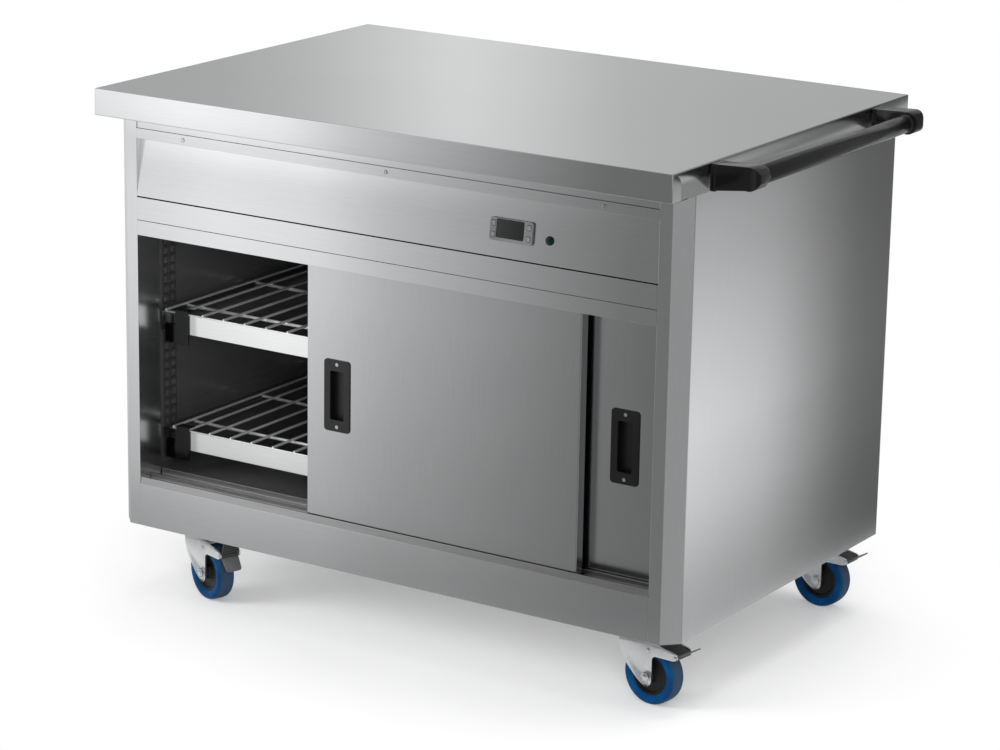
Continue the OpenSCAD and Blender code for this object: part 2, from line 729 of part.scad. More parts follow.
worktop();
side_panels();
corner_posts();
back_panel();
base_tray();
kick_panel();
header_rail();
front_rail();
top_track();
sill_track();
control_fascia();
fascia_screws();
controller_case();
controller_window();
button(0);  // button_up
button(1);  // button_down
button(2);  // button_set
button(3);  // button_power
indicator_lamp();
liner_sides();
liner_back();
liner_floor();
liner_ceiling();
shelf_racks();
shelf_band(upper_shelf_z, upper_shift);  // upper_shelf_band
shelf_wires(upper_shelf_z, upper_shift);  // upper_shelf_wires
shelf_clips(upper_shelf_z);  // upper_shelf_clips
shelf_band(upper_shelf_z - shelf_drop, lower_shift);  // lower_shelf_band
shelf_wires(upper_shelf_z - shelf_drop, lower_shift);  // lower_shelf_wires
shelf_clips(upper_shelf_z - shelf_drop);  // lower_shelf_clips
air_baffle();
fan_motor();
fan_impeller();
heating_element();
cable_gland();
handle_brackets();
handle_tube();
front_door();
front_door_pull();
front_door_glides();
rear_door();
rear_door_pull();
rear_door_glides();
castor_plates();
fork(0);  // fork_front_left
fork(1);  // fork_front_right
fork(2);  // fork_rear_left
fork(3);  // fork_rear_right
hub(0);  // hub_front_left
hub(1);  // hub_front_right
hub(2);  // hub_rear_left
hub(3);  // hub_rear_right
tyre(0);  // tyre_front_left
tyre(1);  // tyre_front_right
tyre(2);  // tyre_rear_left
tyre(3);  // tyre_rear_right
pedal(0);  // pedal_front_left
pedal(1);  // pedal_front_right
pedal(2);  // pedal_rear_left
pedal(3);  // pedal_rear_right
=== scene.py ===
from math import atan2, cos, hypot, pi, radians, sin

import bmesh
import bpy
from mathutils import Matrix, Vector


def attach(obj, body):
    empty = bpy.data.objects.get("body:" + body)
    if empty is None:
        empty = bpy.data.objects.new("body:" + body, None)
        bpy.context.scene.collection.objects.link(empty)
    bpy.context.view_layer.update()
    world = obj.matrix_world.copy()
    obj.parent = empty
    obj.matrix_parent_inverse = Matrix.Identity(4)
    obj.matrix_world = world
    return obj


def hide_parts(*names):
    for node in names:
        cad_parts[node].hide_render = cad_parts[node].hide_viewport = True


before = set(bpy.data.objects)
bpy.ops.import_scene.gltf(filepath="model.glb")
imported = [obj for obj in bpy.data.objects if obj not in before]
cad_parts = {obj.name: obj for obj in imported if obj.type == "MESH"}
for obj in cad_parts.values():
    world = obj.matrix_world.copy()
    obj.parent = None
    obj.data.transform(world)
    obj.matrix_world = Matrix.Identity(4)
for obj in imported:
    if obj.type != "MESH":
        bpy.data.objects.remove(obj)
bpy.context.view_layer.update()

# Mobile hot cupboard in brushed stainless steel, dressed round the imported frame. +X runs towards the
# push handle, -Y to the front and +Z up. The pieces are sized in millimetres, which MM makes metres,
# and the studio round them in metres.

scene = bpy.context.scene
MM = 0.001
CABINET_X = -42.5  # the cabinet's middle, which the handle sets off centre
SIDES = (-1, 1)
RING_OF_FOUR = ((0, 1), (1, 2), (2, 3), (3, 0))  # each corner of four, and the next
WHITE = "#ffffff"


# ---- colours and nodes

NOISE, RAMP, RANGE = "ShaderNodeTexNoise", "ShaderNodeValToRGB", "ShaderNodeMapRange"
PRINCIPLED, BUMP, MATH = "ShaderNodeBsdfPrincipled", "ShaderNodeBump", "ShaderNodeMath"


def linear(hex_colour):
    """An sRGB hex colour as linear RGBA."""
    values = [int(hex_colour[i:i + 2], 16) / 255 for i in (1, 3, 5)]
    return tuple(v / 12.92 if v <= 0.04045 else ((v + 0.055) / 1.055) ** 2.4 for v in values) + (1,)


def add(tree, kind, inputs=None, stops=(), **settings):
    """Adds a node. Each input, by name or number, takes a value, a socket or a node's first
    output. stops are a colour ramp's (position, hex colour) pairs, in order."""
    node = tree.nodes.new(kind)
    for key, value in settings.items():
        setattr(node, key, value)
    for key, value in (inputs or {}).items():
        if isinstance(value, bpy.types.Node):
            value = value.outputs[0]
        if isinstance(value, bpy.types.NodeSocket):
            tree.links.new(value, node.inputs[key])
        else:
            node.inputs[key].default_value = value
    for index, (position, colour) in enumerate(stops):
        elements = node.color_ramp.elements
        element = elements[index] if index < 2 else elements.new(position)
        element.position, element.color = position, linear(colour)
    return node


def surface(recipe):
    """Makes a function that returns a shader, from a node tree and the place of a surface point, into
    one that takes a name and returns a material."""
    def made(name, *details, **more):
        material = bpy.data.materials.new(name)
        material.use_nodes = True
        tree = material.node_tree
        tree.nodes.clear()
        place = add(tree, "ShaderNodeTexCoord").outputs["Object"]
        shader = recipe(tree, place, *details, **more)
        add(tree, "ShaderNodeOutputMaterial", {"Surface": shader})
        return material
    return made


@surface
def brushed(tree, place, colours, roughness, stroke, metallic=1, spread=0.02):
    """Cold-rolled stainless sheet, belt-brushed along `stroke`. Real scratches are 0.05 mm wide; they
    are drawn 0.9 mm wide, so that they show."""
    stretch = [0.012 if axis == stroke else 1 for axis in "xyz"]
    along = add(tree, "ShaderNodeMapping", {"Vector": place, "Scale": stretch})
    grain = add(tree, NOISE, {"Vector": along, "Scale": 1 / (0.9 * MM), "Detail": 4, "Roughness": 0.6})
    cloud = add(tree, NOISE, {"Vector": place, "Scale": 1 / (330 * MM), "Detail": 2})
    colour = add(tree, RAMP, {"Fac": grain}, stops=zip((0.3, 0.7), colours))
    both = add(tree, MATH, {0: grain, 1: cloud}, operation="ADD")
    rough = add(tree, RANGE, {
        "Value": both, "From Min": 0.7, "From Max": 1.3,
        "To Min": roughness - spread, "To Max": roughness + spread})
    scratch = add(tree, BUMP, {"Height": grain, "Strength": 0.6, "Distance": 0.003 * MM})
    return add(tree, PRINCIPLED, {
        "Base Color": colour, "Roughness": rough, "Normal": scratch, "Metallic": metallic})


@surface
def moulded(tree, place, colours, roughness, grit=0.8, depth=0.02, coat=0, gloss=0.5):
    """Injection-moulded plastic with a spark-eroded grain, a little paler where it is handled."""
    grain = add(tree, NOISE, {"Vector": place, "Scale": 1 / (grit * MM), "Detail": 2})
    cloud = add(tree, NOISE, {"Vector": place, "Scale": 1 / (60 * MM), "Detail": 3})
    colour = add(tree, RAMP, {"Fac": cloud}, stops=zip((0.3, 0.75), colours))
    rough = add(tree, RANGE, {
        "Value": cloud, "From Min": 0.3, "From Max": 0.7,
        "To Min": roughness - 0.05, "To Max": roughness + 0.06})
    skin = add(tree, BUMP, {"Height": grain, "Strength": 0.5, "Distance": depth * MM})
    return add(tree, PRINCIPLED, {
        "Base Color": colour, "Roughness": rough, "Normal": skin, "IOR": 1.5, "Specular IOR Level": gloss,
        "Coat Weight": coat, "Coat Roughness": 0.12})


@surface
def plated(tree, place, colours, roughness, metallic=1):
    """Zinc or chrome plating, or plain aluminium: a smooth, even metal with faint soft blotches."""
    cloud = add(tree, NOISE, {"Vector": place, "Scale": 1 / (20 * MM), "Detail": 2})
    colour = add(tree, RAMP, {"Fac": cloud}, stops=zip((0.35, 0.7), colours))
    rough = add(tree, RANGE, {
        "Value": cloud, "From Min": 0.3, "From Max": 0.7,
        "To Min": roughness - 0.03, "To Max": roughness + 0.04})
    return add(tree, PRINCIPLED, {"Base Color": colour, "Roughness": rough, "Metallic": metallic})


@surface
def elastic_tyre(tree, place):
    """Blue elastic rubber. The tread, where the mesh's `worn` attribute is 1, carries grey dust."""
    worn = add(tree, "ShaderNodeAttribute", attribute_name="worn").outputs["Fac"]
    dust = add(tree, NOISE, {"Vector": place, "Scale": 1 / (5 * MM), "Detail": 4, "Roughness": 0.65})
    patches = add(tree, RANGE, {
        "Value": dust, "From Min": 0.3, "From Max": 0.7, "To Min": 0.45, "To Max": 1})
    film = add(tree, MATH, {0: worn, 1: patches}, operation="MULTIPLY")
    cloud = add(tree, NOISE, {"Vector": place, "Scale": 1 / (25 * MM), "Detail": 2})
    wall = add(tree, RAMP, {"Fac": cloud}, stops=[(0.3, "#022f56"), (0.75, "#064474")])
    colour = add(tree, "ShaderNodeMix", {"Factor": film, 6: wall, 7: linear("#3b4856")}, data_type="RGBA")
    rough = add(tree, RANGE, {"Value": film, "To Min": 0.42, "To Max": 0.7})
    skin = add(tree, BUMP, {"Height": dust, "Strength": 0.5, "Distance": 0.03 * MM})
    return add(tree, PRINCIPLED, {
        "Base Color": colour.outputs[2], "Roughness": rough, "Normal": skin, "IOR": 1.52,
        "Specular IOR Level": 0.06})


@surface
def lens(tree, place, colours):
    """Moulded acrylic lamp lens over a dark socket: deep in the middle, and painted paler at a glancing
    angle, a painted sheen in its colour.
    """
    painted_sheen_facing = add(tree, "ShaderNodeLayerWeight", {"Blend": 0.4}).outputs["Facing"]
    # Painted sheen: the base colour grows paler as the surface turns away from the view.
    colour = add(tree, RAMP, {"Fac": painted_sheen_facing}, stops=zip((0, 0.8), colours))
    ripple = add(tree, NOISE, {"Vector": place, "Scale": 1 / (1.2 * MM), "Detail": 1})
    skin = add(tree, BUMP, {"Height": ripple, "Strength": 0.5, "Distance": 0.03 * MM})
    return add(tree, PRINCIPLED, {
        "Base Color": colour, "Normal": skin, "Roughness": 0.16, "IOR": 1.49, "Specular IOR Level": 0.3})


@surface
def tinted_tube(tree, place, colours):
    """Sheathed heating element: nickel alloy gone brown and blue-grey with heat, in bands."""
    band = add(tree, NOISE, {"Vector": place, "Scale": 1 / (30 * MM), "Detail": 3})
    colour = add(tree, RAMP, {"Fac": band}, stops=zip((0.3, 0.55, 0.8), colours))
    rough = add(tree, RANGE, {"Value": band, "To Min": 0.3, "To Max": 0.5})
    return add(tree, PRINCIPLED, {"Base Color": colour, "Roughness": rough, "Metallic": 1})


SATIN = ("#cbcccd", "#d0d1d2")
steel_along = brushed("stainless_brushed_lengthwise", SATIN, 0.2, "x")
steel_upright = brushed("stainless_brushed_upright", SATIN, 0.2, "z")
# The sill's base colour is darker than the other sheets, a painted shade; its roughness is also higher.
steel_sill_painted_shade = brushed("stainless_sill_scuffed", ("#a9a9a9", "#bababa"), 0.33, "x", spread=0.05)
steel_door = brushed("stainless_door_brushed", ("#bcbdbe", "#c2c3c4"), 0.2, "z")
steel_dark = brushed("stainless_heat_dulled", ("#505050", "#5c5c5b"), 0.3, "z", metallic=0.6)
steel_top = brushed("stainless_worktop_satin", ("#c1c2c3", "#c6c7c8"), 0.24, "x")
steel_bright = brushed("stainless_bright_rolled", ("#e3e4e4", "#eaebeb"), 0.12, "x")
liner_dull = brushed("stainless_liner_heat_dulled", ("#828282", "#8e8e8e"), 0.22, "x", metallic=0.75)
zinc = plated("zinc_bright_passivated", ("#c9cbcc", "#d3d5d6"), 0.3)
chrome = plated("chrome_wire_plating", ("#e6e7e8", "#f4f4f5"), 0.2, metallic=0.7)
aluminium = plated("aluminium_pressed_plain", ("#b9bcbf", "#cfd1d3"), 0.34)
black_abs = moulded("abs_black_satin", ("#060607", "#0e0e10"), 0.36)
handle_nylon = moulded("glass_filled_nylon_black", ("#050506", "#0a0a0b"), 0.22, 1.2, 0.01)
clip_gloss = moulded("enamelled_black_gloss", ("#030304", "#070708"), 0.14, 3, 0.01, gloss=0.4)
hub_nylon = moulded("polyamide_hub_black", ("#09090a", "#131314"), 0.45, gloss=0.25)
pedal_grey = moulded("pedal_grey_enamel", ("#4b4c4d", "#616263"), 0.35, 1.5, 0.03)
pedal_black = moulded("pedal_black_enamel", ("#1c1c1d", "#343434"), 0.4, 1.5, 0.04)
tyre_rubber = elastic_tyre("elastic_rubber_blue")
bezel_grey = moulded("polycarbonate_bezel_grey", ("#5c5d5e", "#696a6b"), 0.38, 0.6, 0.01)
key_grey = moulded("silicone_key_grey", ("#656667", "#737475"), 0.5, 0.6, 0.01)
display = moulded("display_smoked_acrylic", ("#050607", "#0a0c0e"), 0.06, 4, 0.002, 0.6)
lamp_green = lens("acrylic_lens_green", ("#01130f", "#063a31"))
nylon = moulded("nylon_natural", ("#d8d4c4", "#e6e3d6"), 0.5)
enamel = moulded("stoved_enamel_grey", ("#565b60", "#6a6f74"), 0.4)
element = tinted_tube("nickel_sheath_heat_tinted", ("#5a4632", "#6f6a64", "#4b525c"))


# ---- mesh helpers

def dress(piece, material, slot, *stands_for, body="cabinet"):
    """Gives a finished piece its material and body, and hides the CAD nodes it stands for. The slot is not
    used.
    """
    piece.data.materials.clear()
    piece.data.materials.append(material)
    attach(piece, body)
    if stands_for:
        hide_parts(*stands_for)


def linked(name, data):
    """An object for a mesh, curve, lamp or camera, linked to the scene."""
    thing = bpy.data.objects.new(name, data)
    scene.collection.objects.link(thing)
    return thing


def to_object(name, form):
    """Turns a bmesh into an object at the origin."""
    mesh = bpy.data.meshes.new(name)
    form.to_mesh(mesh)
    form.free()
    return linked(name, mesh)


def joined(name, parts):
    """One object made of several, which are taken away."""
    form = bmesh.new()
    for part in parts:
        form.from_mesh(part.data)
        bpy.data.objects.remove(part)
    return to_object(name, form)


def shift(x, y, z):
    """A shift in millimetres."""
    return Matrix.Translation((x * MM, y * MM, z * MM))


def rotation(degrees, axis):
    """A turn about an axis through the origin."""
    return Matrix.Rotation(radians(degrees), 4, axis)


def at(x, y, z, degrees=0):
    """A place on the cabinet, in millimetres from its middle, turned about +Z."""
    return shift(CABINET_X + x, y, z) @ rotation(degrees, "Z")


def move(piece, matrix):
    """Puts a place into an object's mesh."""
    piece.data.transform(matrix)
    return piece


def smoothed(piece, angle):
    """Smooth shading where faces meet at less than an angle, on a mesh that is already plain."""
    for polygon in piece.data.polygons:
        polygon.use_smooth = True
    piece.data.set_sharp_from_angle(angle=radians(angle))
    return piece


def plain(piece):
    """Makes an object and its modifiers one plain mesh."""
    graph = bpy.context.evaluated_depsgraph_get()
    mesh = bpy.data.meshes.new_from_object(
        piece.evaluated_get(graph), preserve_all_data_layers=True, depsgraph=graph)
    piece.modifiers.clear()
    old = piece.data
    piece.data = mesh
    mesh.name = piece.name
    bpy.data.meshes.remove(old)
    return piece


def applied(piece, angle=38):
    """Smooth shading with normals weighted by area, so that flat faces look flat, made plain."""
    weighted = smoothed(piece, angle).modifiers.new("weighted", "WEIGHTED_NORMAL")
    weighted.keep_sharp = True
    weighted.weight = 90
    return plain(piece)


def bevelled(piece, name, width, segments, angle):
    """Adds a Bevel modifier for the edges sharper than an angle; width is in millimetres."""
    bevel = piece.modifiers.new(name, "BEVEL")
    bevel.width, bevel.segments = width * MM, segments
    bevel.limit_method = "ANGLE"
    bevel.angle_limit = radians(angle)
    return bevel


def rounded(piece, width, segments):
    """Rounds an object's edges and makes the result plain."""
    bevelled(piece, "bevel", width, segments, 30).miter_outer = "MITER_ARC"
    return applied(piece)


def solidified(piece, thickness):
    """Adds a Solidify modifier, with the thickness in millimetres behind the outer face."""
    solid = piece.modifiers.new("gauge", "SOLIDIFY")
    solid.thickness, solid.offset = thickness * MM, -1
    return solid


PIERCED = ("back_panel", "air_baffle", "base_tray")  # their flat faces have openings, and stay triangles


def softened(node, width, segments=2):
    """A copy of a CAD node's solids, merged, with its edges rounded."""
    form = bmesh.new()
    form.from_mesh(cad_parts[node].data)
    bmesh.ops.remove_doubles(form, verts=form.verts, dist=2e-6)
    if node not in PIERCED:
        bmesh.ops.dissolve_limit(form, angle_limit=radians(0.6), verts=form.verts, edges=form.edges)
    return rounded(to_object(node + "_formed", form), width, segments)


def sheet_from(name, faces, bend, thickness=1.2, segments=3, rim=0, middle=CABINET_X):
    """Folded sheet: flat faces (lists of points from the middle) merged at their edges, bent with a
    radius and given their thickness behind the outer face."""
    form = bmesh.new()
    for points in faces:
        form.faces.new([form.verts.new(Vector((middle + x, y, z)) * MM) for x, y, z in points])
    bmesh.ops.remove_doubles(form, verts=form.verts, dist=1e-6)
    piece = to_object(name, form)
    if bend:
        bevelled(piece, "bend", bend, segments, 4)
    solidified(piece, thickness).use_even_offset = True
    if rim:
        bevelled(piece, "rim", rim, 2, 60)
    return applied(piece, 32)


def run(profile, x0, x1, front):
    """The flat faces of a line run from x0 to x1; its points are (y behind the front, z)."""
    line = [(front + y, z) for y, z in profile]
    return [[(x0, *a), (x1, *a), (x1, *b), (x0, *b)] for a, b in zip(line, line[1:])]


def full(count, first=0):
    """Angles in degrees, evenly round a circle."""
    return [first + 360 * k / count for k in range(count)]


def arc(radius, degrees, cx=0, cz=0, flatter=1):
    """Points on a circle about (cx, cz), or on a flatter one, at a list of angles."""
    turns = [radians(a) for a in degrees]
    return [(cx + radius * cos(t), cz + radius * flatter * sin(t)) for t in turns]


def rect(width, height, cx=0, cz=0):
    """A rectangle's corners about (cx, cz)."""
    x, z = width / 2, height / 2
    return [(cx - x, cz - z), (cx + x, cz - z), (cx + x, cz + z), (cx - x, cz + z)]


def rounded_rect(width, height, radius, cx=0, cz=0):
    """A rectangle with round corners, about (cx, cz)."""
    x, z = width / 2 - radius, height / 2 - radius
    points = []
    for k, (side_x, side_z) in enumerate(((1, 1), (-1, 1), (-1, -1), (1, -1))):
        points += arc(radius, range(90 * k, 90 * k + 91, 18), cx + side_x * x, cz + side_z * z)
    return points


def filleted(points, cuts):
    """An outline whose corners are rounded, each from its own distance before the corner."""
    result = []
    for k, (corner, cut) in enumerate(zip(points, cuts)):
        before, p, after = Vector(points[k - 1]), Vector(corner), Vector(points[(k + 1) % len(points)])
        if not cut:
            result.append(tuple(p))
            continue
        a, b = p + (before - p).normalized() * cut, p + (after - p).normalized() * cut
        for s in (0, 0.2, 0.4, 0.6, 0.8, 1):
            result.append(tuple(a * (1 - s) ** 2 + p * 2 * s * (1 - s) + b * s ** 2))
    return result


def stamped(name, outlines, low, high, edge):
    """A plate between two Y planes with rounded edges. Its first outline, of (x, z) points in
    millimetres, is the rim and the others are openings."""
    curve = bpy.data.curves.new(name, "CURVE")
    curve.dimensions = "2D"
    curve.fill_mode = "BOTH"
    for outline in outlines:
        spline = curve.splines.new("POLY")
        spline.points.add(len(outline) - 1)
        for point, (x, z) in zip(spline.points, outline):
            point.co = (x * MM, z * MM, 0, 1)
        spline.use_cyclic_u = True
    edge *= MM
    curve.extrude = (high - low) * MM / 2 - edge
    curve.bevel_depth, curve.offset, curve.bevel_resolution = edge, -edge, 2
    shape = linked(name, curve)
    graph = bpy.context.evaluated_depsgraph_get()
    form = bmesh.new()
    form.from_mesh(shape.evaluated_get(graph).to_mesh())
    bmesh.ops.remove_doubles(form, verts=form.verts, dist=1e-6)
    bpy.data.objects.remove(shape)
    return smoothed(move(to_object(name, form), shift(0, (low + high) / 2, 0) @ rotation(90, "X")), 30)


def revolved(name, profile, segments=96, close=False):
    """A solid of revolution about +Y; profile is a list of (radius, y) points in millimetres. A ring
    of no radius is one point, a pole."""
    form = bmesh.new()
    rings = []
    for radius, y in profile:
        spots = arc(radius, full(segments)) if radius > 1e-4 else [(0, 0)]
        rings.append([form.verts.new(Vector((x, y, z)) * MM) for x, z in spots])
    for a, b in zip(rings, rings[1:] + rings[:1] if close else rings[1:]):
        for k in range(segments):
            n = (k + 1) % segments
            ring = [a[k % len(a)], a[n % len(a)], b[n % len(b)], b[k % len(b)]]
            corners = list(dict.fromkeys(ring))
            if len(corners) > 2:
                form.faces.new(corners)
    bmesh.ops.recalc_face_normals(form, faces=form.faces)
    return to_object(name, form)


def mirrored(half):
    """A turned profile's first half with its mirror image; a point at y = 0 comes once."""
    return list(dict.fromkeys(half + [(radius, -y) for radius, y in half[::-1]]))


def block(name, low, high, width, segments=2):
    """A moulded or pressed block with rounded edges, from its corners in millimetres."""
    form = bmesh.new()
    bmesh.ops.create_cube(form, size=1)
    for vertex in form.verts:
        vertex.co = [(a + (b - a) * (c + 0.5)) * MM for a, b, c in zip(low, high, vertex.co)]
    return rounded(to_object(name, form), width, segments)


# ---- Geometry Nodes

SHAPE = ("Geometry", "NodeSocketGeometry")


def repeat_tree(name, sockets, on_axle):
    """A tree that puts Count copies of a piece on a line of points, each Step from the last, or
    evenly turned round the Y axis where they all stand at one point."""
    tree = bpy.data.node_groups.new(name, "GeometryNodeTree")
    for label, kind in [SHAPE] + sockets:
        tree.interface.new_socket(label, in_out="INPUT", socket_type=kind)
    tree.interface.new_socket(SHAPE[0], in_out="OUTPUT", socket_type=SHAPE[1])
    given = add(tree, "NodeGroupInput").outputs
    step = (0, 0, 0) if on_axle else given["Step"]
    line = add(tree, "GeometryNodeMeshLine", {"Count": given["Count"], "Offset": step})
    wanted = {"Points": line, "Instance": given["Geometry"]}
    if on_axle:
        index = add(tree, "GeometryNodeInputIndex")
        share = add(tree, MATH, {0: index, 1: given["Count"]}, operation="DIVIDE")
        angle = add(tree, MATH, {0: share, 1: 2 * pi}, operation="MULTIPLY")
        wanted["Rotation"] = add(tree, "ShaderNodeCombineXYZ", {"Y": angle})
    copies = add(tree, "GeometryNodeInstanceOnPoints", wanted)
    solid = add(tree, "GeometryNodeRealizeInstances", {"Geometry": copies})
    painted = add(tree, "GeometryNodeSetMaterial", {"Geometry": solid, "Material": given["Material"]})
    add(tree, "NodeGroupOutput", {0: painted})
    return tree


COUNTED = [("Count", "NodeSocketInt"), ("Material", "NodeSocketMaterial")]
ROW = repeat_tree("repeat_in_a_row", COUNTED + [("Step", "NodeSocketVector")], False)
RING = repeat_tree("repeat_round_an_axle", COUNTED, True)


def grown(piece, tree, **inputs):
    """Runs a geometry tree on an object and keeps the result as its plain mesh."""
    modifier = piece.modifiers.new(tree.name, "NODES")
    modifier.node_group = tree
    for item in tree.interface.items_tree:
        if item.in_out == "INPUT" and item.name.lower() in inputs:
            modifier[item.identifier] = inputs[item.name.lower()]
    return plain(piece)


def repeated(piece, material, *rows):
    """Copies of a piece in a row, or rows of rows; each takes a count and a step in millimetres."""
    for count, step in rows:
        grown(piece, ROW, count=count, step=[s * MM for s in step], material=material)
    return piece


# ---- cabinet

FRONT, BACK = -348, 356  # the body's front and back faces
HALF_W, HALF_D = 557.5, 397.5  # the worktop's half length and half depth
BODY = HALF_W - 1.3  # half the body's width
TOP, EDGE = 900, 854  # the worktop's upper face and its edge's foot
UNDERSIDE = TOP - 1.3  # where the sheets below the worktop end
OPEN = 508.5  # half the opening between the posts
JAMB_DEPTH = 57.4  # how far a post's jamb reaches back
BASE, KICK, OPENING, RAIL, FLANGE, HEADER = 130, 205, 646, 713.5, 812.7, 830
SETBACK = 13  # how far the fascia's top lies behind its foot
LAP = 0.45  # how far a corner tab stands off the worktop's end
SILL_STRETCH = 1.0218  # the sill, made to reach both posts


def worktop():
    """Folded top with tight rounded folds and a lip turned in beneath the front and back."""
    half, lip_y = HALF_W - LAP, (FRONT - 1, BACK + 1)
    top = [(x, y, TOP) for x, y in rect(2 * half, 2 * HALF_D)]
    low = [(x, y, EDGE) for x, y, _ in top]
    faces = [top] + [[top[k], low[k], low[n], top[n]] for k, n in RING_OF_FOUR]
    faces.append([low[0], (-half, lip_y[0], EDGE), (half, lip_y[0], EDGE), low[1]])
    faces.append([low[2], (half, lip_y[1], EDGE), (-half, lip_y[1], EDGE), low[3]])
    dress(sheet_from("worktop_shell", faces, 2.2, segments=4), steel_top, "stainless", "worktop")


def corner_laps():
    """The front edge's end tabs, lapped round each corner and linished, round at the top. Each
    outline lies in XZ and is turned to face along X."""
    radius, foot, crest, near, far = 21, EDGE + 0.6, TOP - 3, 1.5 - HALF_D, 27 - HALF_D
    outline = [(near, foot), (far, foot), (far, crest - radius)]
    outline += arc(radius, range(10, 91, 10), far - radius, crest - radius) + [(near, crest)]
    parts = []
    for side in SIDES:
        tab = stamped("tab", [outline], -LAP, LAP, 0.2)
        parts.append(move(tab, at(side * (HALF_W - LAP), 0, 0, 90)))
    dress(applied(joined("worktop_corner_laps", parts)), steel_upright, "stainless")


def posts():
    """Corner posts: rounded folds at the jamb and along the slanted corner."""
    jamb = FRONT + JAMB_DEPTH
    profile = [(BODY, FRONT + 27), (BODY, FRONT + 26), (BODY - 25, FRONT), (OPEN, FRONT), (OPEN, jamb),
               (OPEN + 21.5, jamb)]
    parts = []
    for side in SIDES:
        line = [(side * x, y) for x, y in profile]
        faces = [[(*a, BASE), (*b, BASE), (*b, UNDERSIDE), (*a, UNDERSIDE)][::-side]
                 for a, b in zip(line, line[1:])]
        parts.append(sheet_from("post", faces, 1.6))
    dress(joined("corner_posts_folded", parts), steel_upright, "stainless", "corner_posts")


def front_sheets():
    """The folded sheets between the posts. Profiles run upwards, their outer side to the front."""
    x = OPEN - 0.2
    groove = OPENING + 26
    for node, bend, profiles in (
            ("kick_panel", 1, [[(0, BASE), (0, KICK), (JAMB_DEPTH, KICK)]]),
            ("front_rail", 0.5, [
                [(3.7, OPENING), (0, OPENING), (0, groove - 0.3), (3, groove - 0.3)],
                [(3, groove + 0.5), (0, groove + 0.5), (0, RAIL - 2), (4, RAIL - 2)]]),
            ("control_fascia", 0.8, [[(12, RAIL), (0, RAIL), (SETBACK, FLANGE), (0, FLANGE), (0, HEADER)]]),
            ("header_rail", 0, [[(2.6, FLANGE + 2), (2.6, UNDERSIDE)]])):
        parts = [sheet_from("sheet", run(profile, -x, x, FRONT), bend) for profile in profiles]
        dress(joined(node + "_folded", parts), steel_along, "stainless", node)


def back_details():
    """Pressed louvre hoods over the vent slots, and blind rivets down both edges of the back."""
    half, foot_y, foot_z = 31, 0.2, 0.4
    slots_apart, slot_pitch, rivets_apart, rivet_pitch = 660, 22, 1092, 115
    bulge = [(foot_y, 9.5), (1.6, 8.6), (2.7, 6.6), (3.2, 3.8), (3.3, foot_z)]
    form = bmesh.new()
    rings = [[form.verts.new(Vector((x * (half - 0.55 * y), y, z)) * MM) for x in SIDES] for y, z in bulge]
    feet = [form.verts.new(Vector((x * half, foot_y, foot_z)) * MM) for x in SIDES]
    for a, b in zip(rings, rings[1:]):
        form.faces.new((a[1], a[0], b[0], b[1]))
        form.faces.new((a[0], b[0], feet[0]))
        form.faces.new((b[1], a[1], feet[1]))
    hoods = move(to_object("back_louvre_hoods", form), at(-slots_apart / 2, BACK, 561))
    repeated(hoods, steel_along, (2, (slots_apart, 0, 0)), (10, (0, 0, slot_pitch)))
    solidified(hoods, 0.8)
    dress(applied(hoods, 25), steel_along, "stainless")
    domed = [(0, 1.5), (0.9, 1.45), (1, 0.9), (2.4, 1.1), (3.1, 0.5), (3.2, -0.3), (0, -0.3)]
    rivets = move(revolved("back_rivets", domed, 20), at(-rivets_apart / 2, BACK, 162))
    repeated(rivets, aluminium, (7, (0, 0, rivet_pitch)), (2, (rivets_apart, 0, 0)))
    dress(smoothed(rivets, 30), aluminium, "zinc")


worktop()
corner_laps()
posts()
front_sheets()
back_details()
for name, width, material in (
        ("side_panels", 0.5, steel_upright), ("back_panel", 0.35, steel_along),
        ("base_tray", 0.4, steel_along), ("top_track", 0.4, steel_along), ("sill_track", 0.5, steel_sill_painted_shade)):
    sheet = softened(name, width)
    if name == "sill_track":
        longer = Matrix.Diagonal((SILL_STRETCH, 1, 1, 1))
        move(sheet, at(0, 0, 0) @ longer @ at(0, 0, 0).inverted())
    dress(sheet, material, "stainless", name)


# ---- controls

def on_fascia(x, z):
    """A place on the sloped fascia, its -Y side outwards."""
    y = FRONT + SETBACK * (z - RAIL) / (FLANGE - RAIL)
    return at(x, y, z) @ Matrix.Rotation(-atan2(SETBACK, FLANGE - RAIL), 4, "X")


